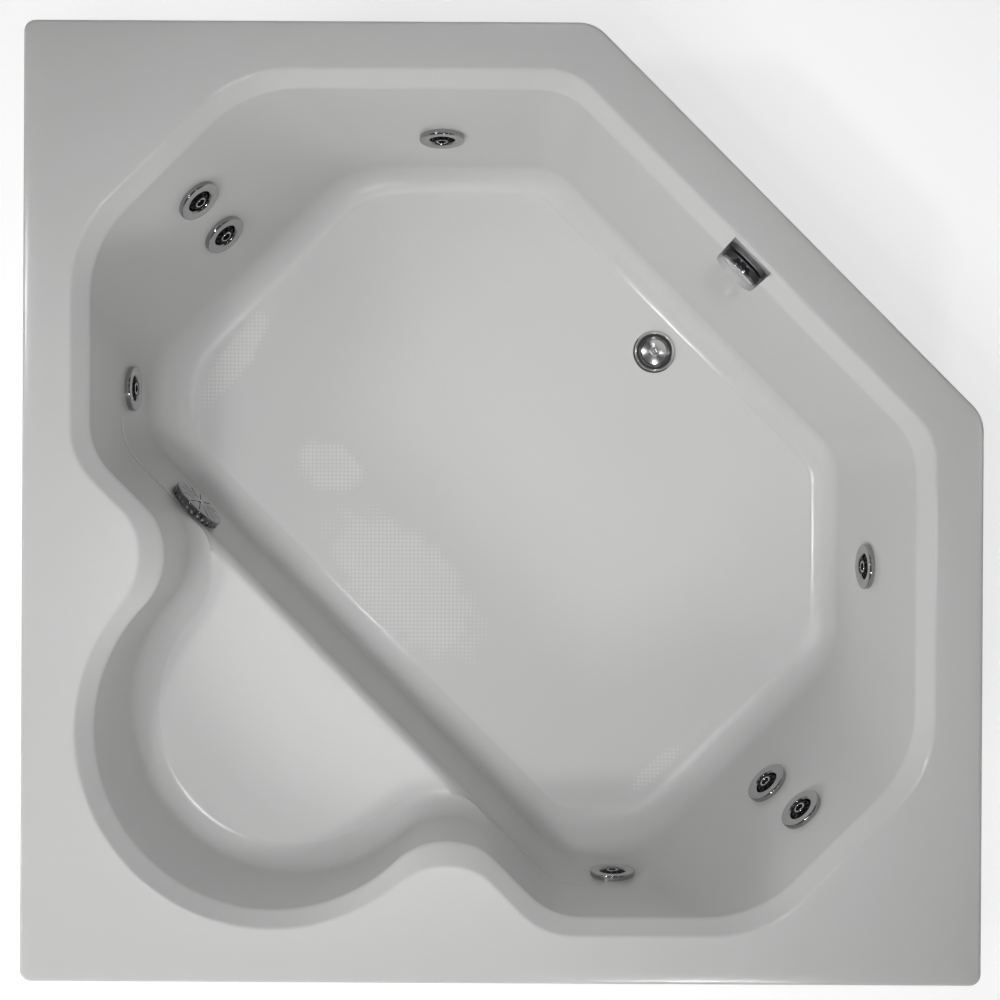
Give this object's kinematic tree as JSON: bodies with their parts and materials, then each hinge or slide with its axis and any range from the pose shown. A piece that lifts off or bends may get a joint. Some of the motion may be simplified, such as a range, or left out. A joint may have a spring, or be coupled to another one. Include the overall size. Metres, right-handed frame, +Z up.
{
  "type": "corner jetted bath",
  "caption": "Drop-in corner jetted bath with a cut corner, a round corner seat, turnable wall jets, suction, knob-worked drain, pump, pipework and timber base.",
  "frame": {"origin": "centre of the bounding box, at floor level", "axes": "+Z up; +X and +Y along the straight sides of the deck, the cut corner at +X +Y and the seat at -X -Y"},
  "size_m": [1.524, 1.524, 0.559],
  "materials": {
    "acrylic": "gloss",
    "plywood": "sanded",
    "pine": "sawn",
    "chrome": "polished",
    "nozzle_dark": "gloss",
    "rubber": "matt",
    "white_pipe": "satin",
    "clear_hose": "satin",
    "black_plastic": "moulded",
    "motor_paint": "painted",
    "steel": "ground"
  },
  "bodies": {
    "tub": {"tub_shell": "acrylic", "base_board": "plywood", "base_runners": "pine", "pump_board": "plywood", "deck_stiffeners": "pine", "drain_flange": "chrome", "waste_gaskets": "rubber", "drain_shoe": "white_pipe", "waste_tube": "white_pipe", "waste_tee": "white_pipe", "tailpiece": "white_pipe", "overflow_tube": "white_pipe", "overflow_elbow": "white_pipe", "slip_nuts": "black_plastic", "drain_cable": "black_plastic", "overflow_plate": "chrome", "jet_bodies": "white_pipe", "wall_gaskets": "rubber", "wall_nuts": "white_pipe", "suction_body": "white_pipe", "suction_cover": "chrome", "suction_screw": "chrome", "suction_hose": "white_pipe", "pump_volute": "black_plastic", "seal_plate": "black_plastic", "motor_housing": "motor_paint", "fan_cover": "black_plastic", "terminal_box": "black_plastic", "cable_gland": "black_plastic", "motor_foot": "motor_paint", "pump_pads": "rubber", "water_main": "white_pipe", "water_fittings": "white_pipe", "water_hoses": "clear_hose", "air_main": "white_pipe", "air_fittings": "white_pipe", "air_hoses": "clear_hose", "air_intake": "white_pipe"},
    "ring_1": {"jet_ring_1": "chrome"},
    "nozzle_1": {"jet_nozzle_1": "nozzle_dark"},
    "ring_2": {"jet_ring_2": "chrome"},
    "nozzle_2": {"jet_nozzle_2": "nozzle_dark"},
    "ring_3": {"jet_ring_3": "chrome"},
    "nozzle_3": {"jet_nozzle_3": "nozzle_dark"},
    "ring_4": {"jet_ring_4": "chrome"},
    "nozzle_4": {"jet_nozzle_4": "nozzle_dark"},
    "ring_5": {"jet_ring_5": "chrome"},
    "nozzle_5": {"jet_nozzle_5": "nozzle_dark"},
    "ring_6": {"jet_ring_6": "chrome"},
    "nozzle_6": {"jet_nozzle_6": "nozzle_dark"},
    "ring_7": {"jet_ring_7": "chrome"},
    "nozzle_7": {"jet_nozzle_7": "nozzle_dark"},
    "ring_8": {"jet_ring_8": "chrome"},
    "nozzle_8": {"jet_nozzle_8": "nozzle_dark"},
    "knob": {"overflow_knob": "chrome"},
    "stopper": {"drain_stopper": "chrome", "stopper_seal": "rubber"},
    "rotor": {"pump_shaft": "steel", "pump_impeller": "black_plastic", "motor_fan": "black_plastic"}
  },
  "joints": [
    {"name": "ring_turn_1", "type": "hinge", "parent": "tub", "child": "ring_1", "pos_m": [-0.104, 0.61023, 0.314], "axis": [0, -0.9763, 0.2164], "range_deg": [0, 90]},
    {"name": "nozzle_tilt_1", "type": "hinge", "parent": "ring_1", "child": "nozzle_1", "pos_m": [-0.104, 0.61608, 0.3127], "axis": [1, 0, 0], "range_deg": [-12, 12]},
    {"name": "ring_turn_2", "type": "hinge", "parent": "tub", "child": "ring_2", "pos_m": [0.61023, -0.104, 0.314], "axis": [-0.9763, 0, 0.2164], "range_deg": [0, 90]},
    {"name": "nozzle_tilt_2", "type": "hinge", "parent": "ring_2", "child": "nozzle_2", "pos_m": [0.61608, -0.104, 0.3127], "axis": [0, -1, 0], "range_deg": [-12, 12]},
    {"name": "ring_turn_3", "type": "hinge", "parent": "tub", "child": "ring_3", "pos_m": [-0.62257, 0.187, 0.304], "axis": [0.9877, 0, 0.1564], "range_deg": [0, 90]},
    {"name": "nozzle_tilt_3", "type": "hinge", "parent": "ring_3", "child": "nozzle_3", "pos_m": [-0.6285, 0.187, 0.30306], "axis": [0, 1, 0], "range_deg": [-12, 12]},
    {"name": "ring_turn_4", "type": "hinge", "parent": "tub", "child": "ring_4", "pos_m": [0.187, -0.62257, 0.304], "axis": [0, 0.9877, 0.1564], "range_deg": [0, 90]},
    {"name": "nozzle_tilt_4", "type": "hinge", "parent": "ring_4", "child": "nozzle_4", "pos_m": [0.187, -0.6285, 0.30306], "axis": [-1, 0, 0], "range_deg": [-12, 12]},
    {"name": "ring_turn_5", "type": "hinge", "parent": "tub", "child": "ring_5", "pos_m": [-0.50183, 0.49335, 0.413], "axis": [0.6509, -0.6509, 0.3907], "range_deg": [0, 90]},
    {"name": "nozzle_tilt_5", "type": "hinge", "parent": "ring_5", "child": "nozzle_5", "pos_m": [-0.50574, 0.49725, 0.41066], "axis": [0.7071, 0.7071, 0], "range_deg": [-12, 12]},
    {"name": "ring_turn_6", "type": "hinge", "parent": "tub", "child": "ring_6", "pos_m": [-0.47169, 0.44906, 0.289], "axis": [0.6509, -0.6509, 0.3907], "range_deg": [0, 90]},
    {"name": "nozzle_tilt_6", "type": "hinge", "parent": "ring_6", "child": "nozzle_6", "pos_m": [-0.47559, 0.45296, 0.28666], "axis": [0.7071, 0.7071, 0], "range_deg": [-12, 12]},
    {"name": "ring_turn_7", "type": "hinge", "parent": "tub", "child": "ring_7", "pos_m": [0.49335, -0.50183, 0.413], "axis": [-0.6509, 0.6509, 0.3907], "range_deg": [0, 90]},
    {"name": "nozzle_tilt_7", "type": "hinge", "parent": "ring_7", "child": "nozzle_7", "pos_m": [0.49725, -0.50574, 0.41066], "axis": [-0.7071, -0.7071, 0], "range_deg": [-12, 12]},
    {"name": "ring_turn_8", "type": "hinge", "parent": "tub", "child": "ring_8", "pos_m": [0.44906, -0.47169, 0.289], "axis": [-0.6509, 0.6509, 0.3907], "range_deg": [0, 90]},
    {"name": "nozzle_tilt_8", "type": "hinge", "parent": "ring_8", "child": "nozzle_8", "pos_m": [0.45296, -0.47559, 0.28666], "axis": [-0.7071, -0.7071, 0], "range_deg": [-12, 12]},
    {"name": "overflow_turn", "type": "hinge", "parent": "tub", "child": "knob", "pos_m": [0.39493, 0.39493, 0.487], "axis": [-0.7071, -0.7071, 0], "range_deg": [0, 100]},
    {"name": "stopper_lift", "type": "slide", "parent": "tub", "child": "stopper", "axis": [0, 0, 1], "range_m": [0, 0.012]},
    {"name": "rotor_spin", "type": "hinge", "parent": "tub", "child": "rotor", "pos_m": [-0.33106, -0.33106, 0.135], "axis": [0.7071, -0.7071, 0], "continuous": true}
  ],
  "couplings": [
    {"joint": "stopper_lift", "follows": "overflow_turn", "m_per_rad": 0.006874}
  ]
}
